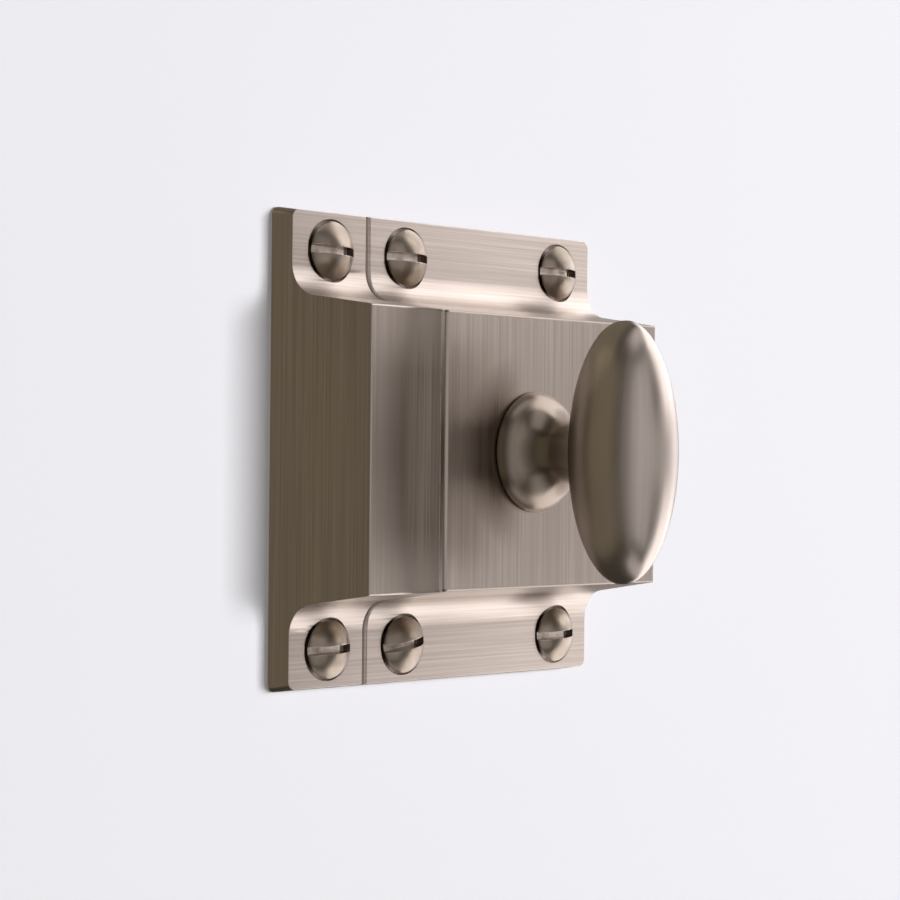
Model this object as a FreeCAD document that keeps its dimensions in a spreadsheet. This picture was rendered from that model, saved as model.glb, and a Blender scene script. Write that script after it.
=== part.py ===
"""Cupboard catch latch: a cast case with a turning knob and a sprung bolt, and the strike that takes the bolt.

Frame: +X right, +Z up, the knob faces -Y, and the mounting plane is y = 0. The origin is the middle of the
four screws that hold the case. "Depth" below means the distance in front of the mounting plane, so y = -depth.
"""
import FreeCAD, Part
import math
import os
import re
import Sketcher

# Driving sizes in millimetres (slopes and powers are plain numbers)
SIZES = {
    # Form that the case and the strike share
    "plate_height": 57.0,
    "flange_thickness": 3.1,
    "case_depth": 16.2,
    "block_height": 32.8,
    "draft_slope": 0.15,
    "root_fillet": 3.8,
    "corner_round": 1.0,
    "edge_round": 0.3,
    "parting_round": 0.6,
    # Case
    "case_width": 41.75,
    "front_wall": 2.6,
    "side_wall": 2.4,
    "bearing_boss_radius": 6.0,
    "cavity_corner": 1.2,
    # Strike
    "parting_gap": 0.25,
    "strike_width": 12.55,
    "ramp_depth": 14.5,
    "ramp_curve": 6.5,
    "lip_land": 0.55,
    "strike_wall": 2.0,
    "strike_screw_inset": 5.8,
    "window_room": 0.5,
    # Wood screws that hold the case and the strike
    "screw_pitch_across": 28.4,
    "screw_pitch_up": 47.1,
    "screw_shank_radius": 1.5,
    "screw_thread_radius": 1.75,
    "screw_head_radius": 3.5,
    "screw_head_dome": 1.35,
    "screw_reach": 12.0,
    "screw_point": 3.5,
    "screw_slot_width": 0.95,
    "screw_slot_below_rim": 0.9,
    "screw_head_proud": 0.3,
    "recess_radius": 3.75,
    "recess_depth": 1.2,
    "cone_slope": 1.15,
    "shank_clearance": 0.2,
    "seat_clearance": 0.03,
    # Knob: an oval grip on a bell-shaped stem
    "knob_from_case_left": 16.0,
    "knob_centre_depth": 29.85,
    "knob_half_height": 15.5,
    "knob_half_width": 6.5,
    "knob_half_depth": 6.52,
    "front_taper": 0.62,
    "side_taper": 0.43,
    "bell_radius": 7.3,
    "bell_rim_radius": 6.1,
    "bell_rim_height": 1.7,
    "bell_rim_curve": 2.6,
    "bell_height": 5.3,
    "bell_curve": 5.0,
    "neck_radius": 3.65,
    "journal_radius": 3.6,
    "journal_clearance": 0.05,
    "knob_gap": 0.15,
    # Cam on the knob's square shank
    "shank_square": 5.0,
    "square_clearance": 0.05,
    "cam_gap": 0.15,
    "cam_thickness": 4.0,
    "cam_hub_radius": 4.6,
    "cam_throw": 8.0,
    "cam_tip_radius": 2.0,
    "cam_lug_gap": 0.15,
    "shank_end_gap": 0.1,
    "washer_radius": 4.0,
    "washer_thickness": 0.8,
    "cam_screw_radius": 1.5,
    "cam_screw_clearance": 0.03,
    "cam_screw_length": 6.5,
    "cam_screw_head_radius": 2.7,
    "cam_screw_head_height": 1.7,
    "cam_screw_room": 0.65,
    "small_slot_width": 0.7,
    "small_slot_depth": 0.7,
    # Bolt
    "bolt_projection": 6.0,
    "bolt_half_height": 6.5,
    "bolt_thickness": 6.0,
    "bolt_depth": 3.4,
    "bolt_bevel_length": 5.0,
    "bolt_bevel_depth": 4.4,
    "bolt_block_length": 10.65,
    "bolt_plate_thickness": 3.0,
    "bolt_plate_half_height": 8.4,
    "slide_clearance": 0.1,
    "lug_thickness": 3.0,
    "lug_bottom": 5.3,
    "lug_top": 8.4,
    "lug_short_of_cam": 0.85,
    "tail_from_axis": 7.0,
    "tail_thickness": 2.0,
    "tail_half_height": 3.4,
    "tail_depth": 8.0,
    # Spring behind the bolt
    "spring_depth": 5.0,
    "spring_radius": 2.0,
    "spring_wire_radius": 0.3,
    "spring_turns": 6.0,
    "spring_stem_radius": 1.2,
    "spring_stem_length": 4.0,
    "spring_seat_length": 1.4,
    # Back plate
    "plate_thickness": 1.0,
    "plate_overlap": 1.2,
    "plate_clearance": 0.1,
    "plate_boss_radius": 2.6,
    "plate_boss_inset": 2.4,
    "plate_screw_radius": 1.0,
    "plate_screw_head_radius": 1.75,
    "plate_screw_cone": 0.75,
    "plate_screw_length": 6.0,
}

# Turn of each screw's slot away from level, in degrees, seen from the front
CASE_SLOT_TURNS = {"left_top": 1.0, "right_top": 2.0, "left_bottom": -8.0, "right_bottom": -3.0}
STRIKE_SLOT_TURNS = {"top": 2.0, "bottom": -2.0}
PLATE_SLOT_TURNS = {"left_top": 20.0, "right_top": -35.0, "left_bottom": 70.0, "right_bottom": 5.0}
# Heights of the grip's sections, as shares of its half height
GRIP_STATIONS = (-0.9995, -0.96, -0.8, -0.45, 0.0, 0.45, 0.8, 0.96, 0.9995)
# Straight lengths in one turn of the spring, and sides of its wire
SPRING_STEPS, WIRE_SIDES = 12, 8

# Places worked out from the sizes
CASE_LEFT = "(-case_width / 2)"
CASE_RIGHT = "(case_width / 2)"
STRIKE_RIGHT = f"({CASE_LEFT} - parting_gap)"
STRIKE_LEFT = f"({STRIKE_RIGHT} - strike_width)"
STRIKE_SCREWS = f"({STRIKE_RIGHT} - strike_screw_inset)"
KNOB_AXIS = f"({CASE_LEFT} + knob_from_case_left)"
CAVITY_LEFT = f"({CASE_LEFT} + side_wall)"
CAVITY_RIGHT = f"({CASE_RIGHT} - draft_slope * case_depth - side_wall)"
CAVITY_TOP = "(block_height / 2 - side_wall)"
CAVITY_DEPTH = "(case_depth - front_wall)"
KNOB_BASE = "(case_depth + knob_gap)"
RIM_DEPTH = "(flange_thickness + screw_head_proud)"
RECESS_FLOOR = "(flange_thickness - recess_depth)"
SEAT_RADIUS = f"(screw_head_radius - ({RIM_DEPTH} - {RECESS_FLOOR} - seat_clearance) / cone_slope)"
BOLT_TIP = f"({CASE_LEFT} - bolt_projection)"
BOLT_FRONT = "(bolt_depth + bolt_thickness)"
BOLT_PLATE_BACK = "(plate_thickness + slide_clearance)"
BOLT_PLATE_FRONT = f"({BOLT_PLATE_BACK} + bolt_plate_thickness)"
SCREW_HEAD_BACK = f"({BOLT_PLATE_FRONT} + cam_screw_room)"
WASHER_BACK = f"({SCREW_HEAD_BACK} + cam_screw_head_height)"
CAM_BACK = f"({WASHER_BACK} + washer_thickness)"
CAM_FRONT = f"({CAM_BACK} + cam_thickness)"
BEARING_END = f"({CAM_FRONT} + cam_gap)"
TAIL_LEFT = f"({KNOB_AXIS} + tail_from_axis)"
TAIL_RIGHT = f"({TAIL_LEFT} + tail_thickness)"
BOSS_LEFT = f"({CAVITY_LEFT} + plate_boss_inset)"
BOSS_RIGHT = f"({CAVITY_RIGHT} - plate_boss_inset)"
BOSS_TOP = f"({CAVITY_TOP} - plate_boss_inset)"
SPARE = 2.0

UP = FreeCAD.Vector(0, 0, 1)

doc = FreeCAD.newDocument("cupboard_catch_latch")
sheet = doc.addObject("Spreadsheet::Sheet", "dims")
for row, (size_name, number) in enumerate(SIZES.items(), 1):
    sheet.set(f"A{row}", size_name)
    sheet.set(f"B{row}", str(number))
    sheet.setAlias(f"B{row}", size_name)
doc.recompute()


def bound(expression):
    """The expression with every size read from the sheet."""
    return re.sub(r"[a-z_]+", lambda word: f"dims.{word[0]}" if word[0] in SIZES else word[0], str(expression))


def value(expression):
    return float(sheet.evalExpression(bound(expression)))


def bind(item, path, expression):
    item.setExpression(path, bound(expression))


def new_body(name, axis="0"):
    """A body whose own origin lies at x = axis on the mounting plane."""
    body = doc.addObject("PartDesign::Body", name)
    body.Label = name
    bind(body, "Placement.Base.x", axis)
    return body


def new_sketch(body, name, plane, offset="0"):
    """A sketch on one of the body's origin planes, moved along that plane's normal by the offset."""
    sketch = body.newObject("Sketcher::SketchObject", name)
    support = next(item for item in body.Origin.OriginFeatures if item.Role == plane)
    sketch.AttachmentSupport = [(support, "")]
    sketch.MapMode = "FlatFace"
    bind(sketch, "AttachmentOffset.Base.z", offset)
    return sketch


def hold(sketch, geometry, point, across, up):
    """Fix one sketch point at two expressions measured from the sketch's origin."""
    axes = {"DistanceX": -2, "DistanceY": -1}
    for kind, expression in (("DistanceX", across), ("DistanceY", up)):
        if expression == "0":
            sketch.addConstraint(Sketcher.Constraint("PointOnObject", geometry, point, axes[kind]))
            continue
        rule = Sketcher.Constraint(kind, -1, 1, geometry, point, value(expression))
        bind(sketch, f"Constraints[{sketch.addConstraint(rule)}]", expression)


def arc_between(start, end, radius, side):
    """The short arc from start to end whose centre lies on the left (side 1) or right (side -1) of the way."""
    way = end - start
    rise = math.sqrt(max(radius ** 2 - (way.Length / 2) ** 2, 0.0))
    left = FreeCAD.Vector(-way.y, way.x, 0).normalize()
    centre = (start + end) / 2 + left * rise * side
    angles = [math.atan2(spot.y - centre.y, spot.x - centre.x) for spot in (start, end)]
    if side < 0:
        angles.reverse()
    return Part.ArcOfCircle(Part.Circle(centre, UP, radius), *angles)


def outline(sketch, corners):
    """A closed outline. A corner is (across, up), with (radius, side) added where an arc leaves it."""
    spots = [FreeCAD.Vector(value(corner[0]), value(corner[1]), 0) for corner in corners]
    runs = []
    for index, corner in enumerate(corners):
        start, end = spots[index], spots[(index + 1) % len(spots)]
        if len(corner) == 2:
            runs.append((sketch.addGeometry(Part.LineSegment(start, end)), 1, 2))
            continue
        radius, side = corner[2:]
        arc = sketch.addGeometry(arc_between(start, end, value(radius), side))
        rule = sketch.addConstraint(Sketcher.Constraint("Radius", arc, value(radius)))
        bind(sketch, f"Constraints[{rule}]", radius)
        runs.append((arc, 1, 2) if side > 0 else (arc, 2, 1))
    for index, (geometry, first, last) in enumerate(runs):
        following = runs[(index + 1) % len(runs)]
        sketch.addConstraint(Sketcher.Constraint("Coincident", geometry, last, following[0], following[1]))
        hold(sketch, geometry, first, *corners[index][:2])


def rectangle(sketch, left, right, bottom, top):
    outline(sketch, [(left, bottom), (right, bottom), (right, top), (left, top)])


def circles(sketch, radius, centres):
    for across, up in centres:
        spot = FreeCAD.Vector(value(across), value(up), 0)
        ring = sketch.addGeometry(Part.Circle(spot, UP, value(radius)))
        hold(sketch, ring, 3, across, up)
        rule = sketch.addConstraint(Sketcher.Constraint("Radius", ring, value(radius)))
        bind(sketch, f"Constraints[{rule}]", radius)


def compare(body, feature, before):
    """Stop if a feature failed or changed nothing."""
    doc.recompute()
    if feature.Shape.isNull() or abs(feature.Shape.Volume - before) < 1e-6:
        raise RuntimeError(f"{body.Label}: {feature.Name} changes nothing")
    return feature


def volume_of(body):
    return 0.0 if body.Tip is None or body.Shape.isNull() else body.Shape.Volume


def extrude(body, kind, name, sketch, length, flip=False, both=False):
    """A pad or pocket. Pads go along the sketch's normal and pockets against it, unless flipped."""
    before = volume_of(body)
    feature = body.newObject(f"PartDesign::{kind}", name)
    feature.Profile = sketch
    bind(feature, "Length", length)
    feature.Reversed = flip
    if both:
        feature.SideType = "Symmetric"
    return compare(body, feature, before)


def revolve(body, name, sketch):
    """Turn a profile round the body's own Y axis."""
    feature = body.newObject("PartDesign::Revolution", name)
    feature.Profile = sketch
    feature.ReferenceAxis = (sketch, ["V_Axis"])
    feature.Angle = 360.0
    return compare(body, feature, 0.0)


def round_edges(body, name, radius, test):
    """Fillet each edge whose middle point passes the test."""
    before = volume_of(body)
    base = body.Tip
    chosen = []
    for index, edge in enumerate(base.Shape.Edges, 1):
        middle = edge.valueAt((edge.FirstParameter + edge.LastParameter) / 2)
        if test(edge, middle):
            chosen.append(f"Edge{index}")
    feature = body.newObject("PartDesign::Fillet", name)
    feature.Base = (base, chosen)
    bind(feature, "Radius", radius)
    return compare(body, feature, before)


def near(first, second):
    return abs(first - second) < 1e-3


def corners_of(left, right, top):
    """The four places (left or right, top or bottom) as pairs of expressions, by name."""
    return {
        "left_top": (left, top),
        "right_top": (right, top),
        "left_bottom": (left, f"-{top}"),
        "right_bottom": (right, f"-{top}"),
    }


def block_half(depth):
    """Half height of the raised block at a depth, as an expression."""
    return f"(block_height / 2 + (case_depth - {depth}) * draft_slope)"


def hat_profile(body):
    """The section that case and strike share: a flange above and below a raised block, all sides leaning in."""
    sketch = new_sketch(body, f"{body.Label}_profile", "YZ_Plane", STRIKE_LEFT if body.Label == "strike" else CASE_LEFT)
    flange_top = "(plate_height / 2 - flange_thickness * draft_slope)"
    root = block_half("flange_thickness")
    front = "(block_height / 2)"
    upper = [
        ("0", "plate_height / 2"),
        ("-flange_thickness", flange_top),
        ("-flange_thickness", root),
        ("-case_depth", front),
    ]
    lower = [(depth, f"-({height})") for depth, height in reversed(upper)]
    outline(sketch, upper + lower)
    return sketch


def lean_cut(body, edge, direction):
    """Cut one end of a casting to the same lean as its other sides. Direction is 1 for the right end."""
    sketch = new_sketch(body, f"{body.Label}_end_lean", "XY_Plane")
    reach = f"(case_depth + {SPARE})"
    beyond = f"({edge} + {direction * SPARE})"
    corners = [
        (edge, "0"),
        (beyond, "0"),
        (beyond, f"-{reach}"),
        (f"({edge} - {direction} * draft_slope * {reach})", f"-{reach}"),
    ]
    outline(sketch, corners)
    extrude(body, "Pocket", f"{body.Label}_end_cut", sketch, f"plate_height + {SPARE}", both=True)


def soften_casting(body, outer, front_depth):
    """The hollow curve at each flange, the rounded outer corners and the softened front edges."""
    half = value("plate_height / 2")
    thickness = value("flange_thickness")
    root = value(block_half("flange_thickness"))

    def at_root(edge, middle):
        return near(middle.y, -thickness) and near(abs(middle.z), root)

    def at_corner(edge, middle):
        lean = value("draft_slope") * -middle.y
        return -thickness < middle.y < 0 and near(abs(middle.z), half - lean) and abs(middle.x - outer) < 1.0

    def at_front(edge, middle):
        on_front = near(middle.y, -value(front_depth)) and near(edge.Vertexes[0].Y, edge.Vertexes[-1].Y)
        beside_case = near(middle.x, value(CASE_LEFT)) or near(middle.x, value(STRIKE_RIGHT))
        return on_front and not beside_case

    round_edges(body, f"{body.Label}_roots", "root_fillet", at_root)
    round_edges(body, f"{body.Label}_corners", "corner_round", at_corner)
    round_edges(body, f"{body.Label}_front_edges", "edge_round", at_front)


def screw_holes(body, centres):
    """A round recess for each screw's head, open in front, with a countersunk hole in its floor."""
    recess = new_sketch(body, f"{body.Label}_recess_places", "XZ_Plane", RECESS_FLOOR)
    circles(recess, "recess_radius", centres)
    extrude(body, "Pocket", f"{body.Label}_screw_recesses", recess, "recess_depth + root_fillet", flip=True)
    places = new_sketch(body, f"{body.Label}_screw_places", "XZ_Plane", RECESS_FLOOR)
    circles(places, SEAT_RADIUS, centres)
    doc.recompute()
    before = volume_of(body)
    hole = body.newObject("PartDesign::Hole", f"{body.Label}_screw_holes")
    hole.Profile = places
    hole.ThreadType = "None"
    hole.DepthType = "ThroughAll"
    bind(hole, "Diameter", "2 * (screw_thread_radius + shank_clearance)")
    hole.HoleCutType = "Countersink"
    hole.HoleCutCustomValues = True
    bind(hole, "HoleCutDiameter", f"2 * {SEAT_RADIUS}")
    bind(hole, "HoleCutCountersinkAngle", "2 * atan(1 / cone_slope)")
    compare(body, hole, before)


def make_case():
    """Hollow casting, open at the back, that carries the knob, the bolt, the spring and the back plate."""
    body = new_body("latch_case")
    extrude(body, "Pad", "case_block", hat_profile(body), "case_width")
    lean_cut(body, CASE_RIGHT, 1)
    soften_casting(body, value(CASE_RIGHT), "case_depth")

    def at_parting(edge, middle):
        beside_strike = near(middle.x, value(CASE_LEFT)) and abs(middle.z) > value("block_height / 2")
        return beside_strike and near(middle.y, -value("flange_thickness"))

    round_edges(body, "case_parting_edges", "parting_round", at_parting)

    cavity = new_sketch(body, "case_cavity_outline", "XZ_Plane")
    rectangle(cavity, CAVITY_LEFT, CAVITY_RIGHT, f"-{CAVITY_TOP}", CAVITY_TOP)
    extrude(body, "Pocket", "case_cavity", cavity, CAVITY_DEPTH, flip=True)
    recess = new_sketch(body, "case_recess_outline", "XZ_Plane")
    grow = "(plate_overlap + plate_clearance)"
    rectangle(recess, f"{CAVITY_LEFT} - {grow}", f"{CAVITY_RIGHT} + {grow}",
              f"-({CAVITY_TOP} + {grow})", f"{CAVITY_TOP} + {grow}")
    extrude(body, "Pocket", "case_recess", recess, "plate_thickness", flip=True)

    bosses = new_sketch(body, "case_plate_bosses", "XZ_Plane", "plate_thickness")
    boss_places = corners_of(BOSS_LEFT, BOSS_RIGHT, BOSS_TOP).values()
    circles(bosses, "plate_boss_radius", boss_places)
    extrude(body, "Pad", "case_bosses", bosses, "case_depth - front_wall / 2 - plate_thickness")
    bearing = new_sketch(body, "case_bearing_outline", "XZ_Plane", BEARING_END)
    circles(bearing, "bearing_boss_radius", [(KNOB_AXIS, "0")])
    extrude(body, "Pad", "case_bearing", bearing, f"case_depth - front_wall / 2 - {BEARING_END}")
    bore = new_sketch(body, "case_bore_outline", "XZ_Plane")
    circles(bore, "journal_radius + journal_clearance", [(KNOB_AXIS, "0")])
    extrude(body, "Pocket", "case_bore", bore, f"case_depth + {SPARE}", flip=True)

    window = new_sketch(body, "case_window_outline", "YZ_Plane", f"{CASE_LEFT} - {SPARE}")
    rectangle(window, f"-({BOLT_FRONT} + slide_clearance)", "-(bolt_depth - slide_clearance)",
              "-(bolt_half_height + slide_clearance)", "bolt_half_height + slide_clearance")
    extrude(body, "Pocket", "case_window", window, f"side_wall + 2 * {SPARE}", flip=True)
    stop = new_sketch(body, "case_stop_outline", "XZ_Plane", f"{CAM_BACK} + cam_thickness / 2")
    stop_right = f"{KNOB_AXIS} - cam_tip_radius - cam_lug_gap"
    rectangle(stop, f"{stop_right} - side_wall", stop_right, "cam_throw - cam_tip_radius", "cam_throw + cam_tip_radius")
    extrude(body, "Pad", "case_stop", stop, f"case_depth - front_wall / 2 - {CAM_BACK} - cam_thickness / 2")
    seat = new_sketch(body, "case_seat_outline", "YZ_Plane", f"{CAVITY_RIGHT} - spring_seat_length")
    circles(seat, "spring_stem_radius", [("-spring_depth", "0")])
    extrude(body, "Pad", "case_spring_seat", seat, "spring_seat_length + side_wall / 2")

    pilots = new_sketch(body, "case_pilot_places", "XZ_Plane")
    circles(pilots, "plate_screw_radius + cam_screw_clearance", boss_places)
    extrude(body, "Pocket", "case_pilots", pilots, "plate_screw_length + front_wall / 2", flip=True)
    half = "(screw_pitch_across / 2)"
    screw_holes(body, corners_of(f"-{half}", half, "(screw_pitch_up / 2)").values())
    return body


def make_strike():
    """Casting of the same section, with a ramp that rises to a lip, and a pocket behind it for the bolt."""
    body = new_body("strike")
    extrude(body, "Pad", "strike_block", hat_profile(body), "strike_width")
    lean_cut(body, STRIKE_LEFT, -1)
    rise = "(case_depth - ramp_depth)"
    lip = f"({STRIKE_RIGHT} - lip_land)"
    run = f"sqrt(ramp_curve ^ 2 - (ramp_curve - {rise}) ^ 2)"
    beyond = f"({STRIKE_LEFT} - {SPARE})"
    ahead = f"-(case_depth + {SPARE})"
    ramp = new_sketch(body, "strike_ramp_outline", "XY_Plane")
    outline(ramp, [
        (beyond, "-ramp_depth"),
        (f"{lip} - {run}", "-ramp_depth", "ramp_curve", -1),
        (lip, "-case_depth"),
        (lip, ahead),
        (beyond, ahead),
    ])
    extrude(body, "Pocket", "strike_ramp", ramp, f"plate_height + {SPARE}", both=True)
    soften_casting(body, value(STRIKE_LEFT), "ramp_depth")

    pocket_depth = "(ramp_depth - strike_wall)"
    pocket = new_sketch(body, "strike_pocket_outline", "XZ_Plane")
    rectangle(pocket, f"{STRIKE_LEFT} + draft_slope * {pocket_depth} + strike_wall",
              f"{STRIKE_RIGHT} - strike_wall",
              "-(block_height / 2 - strike_wall)", "block_height / 2 - strike_wall")
    extrude(body, "Pocket", "strike_pocket", pocket, pocket_depth, flip=True)
    window = new_sketch(body, "strike_window_outline", "YZ_Plane", f"{STRIKE_RIGHT} + {SPARE}")
    rectangle(window, f"-({BOLT_FRONT} + window_room)", "-(bolt_depth - window_room)",
              "-(bolt_half_height + window_room)", "bolt_half_height + window_room")
    extrude(body, "Pocket", "strike_window", window, f"strike_wall + 2 * {SPARE}")
    screw_holes(body, [(STRIKE_SCREWS, "screw_pitch_up / 2"), (STRIKE_SCREWS, "-screw_pitch_up / 2")])
    return body


def make_grip():
    """The knob's oval grip: elliptical sections up its height, more pointed from the front than from the side."""
    rings = []
    for station in GRIP_STATIONS:
        ring = doc.addObject("Part::Ellipse", "grip_section")
        share = 1.0 - station ** 2
        bind(ring, "MajorRadius", f"knob_half_depth * {share:.6f} ^ side_taper")
        bind(ring, "MinorRadius", f"knob_half_width * {share:.6f} ^ front_taper")
        ring.Placement = FreeCAD.Placement(FreeCAD.Vector(), FreeCAD.Rotation(UP, -90))
        bind(ring, "Placement.Base.x", KNOB_AXIS)
        bind(ring, "Placement.Base.y", "-knob_centre_depth")
        bind(ring, "Placement.Base.z", f"{station} * knob_half_height")
        rings.append(ring)
    grip = doc.addObject("Part::Loft", "knob_grip")
    grip.Sections = rings
    grip.Solid = True
    grip.MaxDegree = 3
    doc.recompute()
    return grip


def make_stem():
    """The knob's turned stem: bell, neck, round journal and square shank, bored for the cam's screw."""
    body = new_body("knob_stem", KNOB_AXIS)
    profile = new_sketch(body, "stem_profile", "XY_Plane")
    bell_top = f"({KNOB_BASE} + bell_rim_height)"
    outline(profile, [
        ("0", f"-{CAM_FRONT}"),
        ("journal_radius", f"-{CAM_FRONT}"),
        ("journal_radius", f"-{KNOB_BASE}"),
        ("bell_radius", f"-{KNOB_BASE}", "bell_rim_curve", -1),
        ("bell_rim_radius", f"-{bell_top}", "bell_curve", 1),
        ("neck_radius", f"-({KNOB_BASE} + bell_height)"),
        ("neck_radius", "-knob_centre_depth"),
        ("0", "-knob_centre_depth"),
    ])
    revolve(body, "stem_turning", profile)
    square = new_sketch(body, "stem_square", "XZ_Plane", f"{CAM_BACK} + shank_end_gap")
    half = "(shank_square / 2)"
    rectangle(square, f"-{half}", half, f"-{half}", half)
    extrude(body, "Pad", "stem_shank", square, "cam_thickness")
    hole = new_sketch(body, "stem_hole", "XZ_Plane")
    circles(hole, "cam_screw_radius + cam_screw_clearance", [("0", "0")])
    extrude(body, "Pocket", "stem_bore", hole, f"{WASHER_BACK} + cam_screw_length + shank_end_gap", flip=True)
    return body


def make_knob():
    knob = doc.addObject("Part::Fuse", "knob")
    knob.Label = "knob"
    knob.Base = make_stem()
    knob.Tool = make_grip()
    doc.recompute()
    return knob


def make_cam():
    """Plate on the square shank, with a round-ended arm that pushes the bolt's lug."""
    body = new_body("cam", KNOB_AXIS)
    hub = new_sketch(body, "cam_hub_outline", "XZ_Plane", CAM_BACK)
    circles(hub, "cam_hub_radius", [("0", "0")])
    extrude(body, "Pad", "cam_hub", hub, "cam_thickness")
    arm = new_sketch(body, "cam_arm_outline", "XZ_Plane", CAM_BACK)
    rectangle(arm, "-cam_tip_radius", "cam_tip_radius", "0", "cam_throw")
    extrude(body, "Pad", "cam_arm", arm, "cam_thickness")
    tip = new_sketch(body, "cam_tip_outline", "XZ_Plane", CAM_BACK)
    circles(tip, "cam_tip_radius", [("0", "cam_throw")])
    extrude(body, "Pad", "cam_tip", tip, "cam_thickness")
    square = new_sketch(body, "cam_square", "XZ_Plane")
    half = "(shank_square / 2 + square_clearance)"
    rectangle(square, f"-{half}", half, f"-{half}", half)
    extrude(body, "Pocket", "cam_hole", square, "case_depth", flip=True)
    return body


def make_washer():
    body = new_body("cam_washer", KNOB_AXIS)
    ring = new_sketch(body, "washer_outline", "XZ_Plane", WASHER_BACK)
    circles(ring, "washer_radius", [("0", "0")])
    circles(ring, "cam_screw_radius + shank_clearance", [("0", "0")])
    extrude(body, "Pad", "washer_ring", ring, "washer_thickness")
    return body


def cut_slot(body, floor_depth, width, length, flip):
    """A screwdriver slot, from its floor out of the head."""
    slot = new_sketch(body, f"{body.Label}_slot_outline", "XZ_Plane", floor_depth)
    rectangle(slot, f"-({length})", length, f"-{width} / 2", f"{width} / 2")
    extrude(body, "Pocket", f"{body.Label}_slot", slot, f"case_depth + {SPARE}", flip=flip)


def make_cam_screw():
    """Cheese-headed screw that holds the cam and its washer on the shank. Its head faces the back plate."""
    body = new_body("cam_screw", KNOB_AXIS)
    profile = new_sketch(body, "cam_screw_profile", "XY_Plane")
    outline(profile, [
        ("0", f"-{SCREW_HEAD_BACK}"),
        ("cam_screw_head_radius", f"-{SCREW_HEAD_BACK}"),
        ("cam_screw_head_radius", f"-{WASHER_BACK}"),
        ("cam_screw_radius", f"-{WASHER_BACK}"),
        ("cam_screw_radius", f"-({WASHER_BACK} + cam_screw_length)"),
        ("0", f"-({WASHER_BACK} + cam_screw_length)"),
    ])
    revolve(body, "cam_screw_turning", profile)
    cut_slot(body, f"{SCREW_HEAD_BACK} + small_slot_depth", "small_slot_width", "cam_screw_head_radius", False)
    return body


def make_bolt():
    """Sliding bolt: a bevelled nose block on a plate, with a lug for the cam and a tail with the spring's stem."""
    body = new_body("latch_bolt")
    plate = new_sketch(body, "bolt_plate_outline", "XZ_Plane", BOLT_PLATE_BACK)
    rectangle(plate, f"{CAVITY_LEFT} + slide_clearance", TAIL_RIGHT, "-bolt_plate_half_height", "bolt_plate_half_height")
    extrude(body, "Pad", "bolt_plate", plate, "bolt_plate_thickness")
    nose = new_sketch(body, "bolt_nose_outline", "XZ_Plane", "bolt_depth")
    rectangle(nose, BOLT_TIP, f"{BOLT_TIP} + bolt_block_length", "-bolt_half_height", "bolt_half_height")
    extrude(body, "Pad", "bolt_nose", nose, "bolt_thickness")
    bevel = new_sketch(body, "bolt_bevel_outline", "XY_Plane")
    outline(bevel, [
        (f"{BOLT_TIP} - {SPARE}", "-bolt_depth + bolt_bevel_depth"),
        (f"{BOLT_TIP} + bolt_bevel_length", "-bolt_depth"),
        (BOLT_TIP, "-(bolt_depth + bolt_bevel_depth)"),
        (f"{BOLT_TIP} - {SPARE}", "-(bolt_depth + bolt_bevel_depth)"),
    ])
    extrude(body, "Pocket", "bolt_bevel", bevel, f"2 * bolt_half_height + {SPARE}", both=True)
    lug = new_sketch(body, "bolt_lug_outline", "XZ_Plane", BOLT_PLATE_BACK)
    lug_left = f"{KNOB_AXIS} + cam_tip_radius + cam_lug_gap"
    rectangle(lug, lug_left, f"{lug_left} + lug_thickness", "lug_bottom", "lug_top")
    extrude(body, "Pad", "bolt_lug", lug, f"{CAM_FRONT} - lug_short_of_cam - {BOLT_PLATE_BACK}")
    tail = new_sketch(body, "bolt_tail_outline", "XZ_Plane", BOLT_PLATE_BACK)
    rectangle(tail, TAIL_LEFT, TAIL_RIGHT, "-tail_half_height", "tail_half_height")
    extrude(body, "Pad", "bolt_tail", tail, f"tail_depth - {BOLT_PLATE_BACK}")
    stem = new_sketch(body, "bolt_stem_outline", "YZ_Plane", TAIL_LEFT)
    circles(stem, "spring_stem_radius", [("-spring_depth", "0")])
    extrude(body, "Pad", "bolt_stem", stem, "tail_thickness + spring_stem_length")
    return body


def make_spring():
    """Coil of wire between the bolt's tail and the case's right wall, in short straight lengths."""
    start = value(f"{TAIL_RIGHT} + spring_wire_radius + slide_clearance")
    span = value(f"{CAVITY_RIGHT} - spring_wire_radius - slide_clearance") - start
    radius = value("spring_radius")
    wire = value("spring_wire_radius")
    steps = round(value("spring_turns") * SPRING_STEPS)
    path = []
    for step in range(steps + 1):
        turn = 2 * math.pi * step / SPRING_STEPS
        path.append(FreeCAD.Vector(span * step / steps, radius * math.sin(turn), radius * math.cos(turn)))
    heading = FreeCAD.Rotation(UP, path[1] - path[0])
    rim = []
    for side in range(WIRE_SIDES + 1):
        turn = 2 * math.pi * side / WIRE_SIDES
        corner = FreeCAD.Vector(wire * math.cos(turn), wire * math.sin(turn), 0)
        rim.append(path[0] + heading.multVec(corner))
    right_corners = 1
    coil = Part.makePolygon(path).makePipeShell([Part.makePolygon(rim)], True, False, right_corners)
    spring = doc.addObject("Part::Feature", "bolt_spring")
    spring.Label = "bolt_spring"
    spring.Shape = coil.Solids[0]
    spring.Placement = FreeCAD.Placement(FreeCAD.Vector(start, -value("spring_depth"), 0), FreeCAD.Rotation())
    return spring


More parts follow.
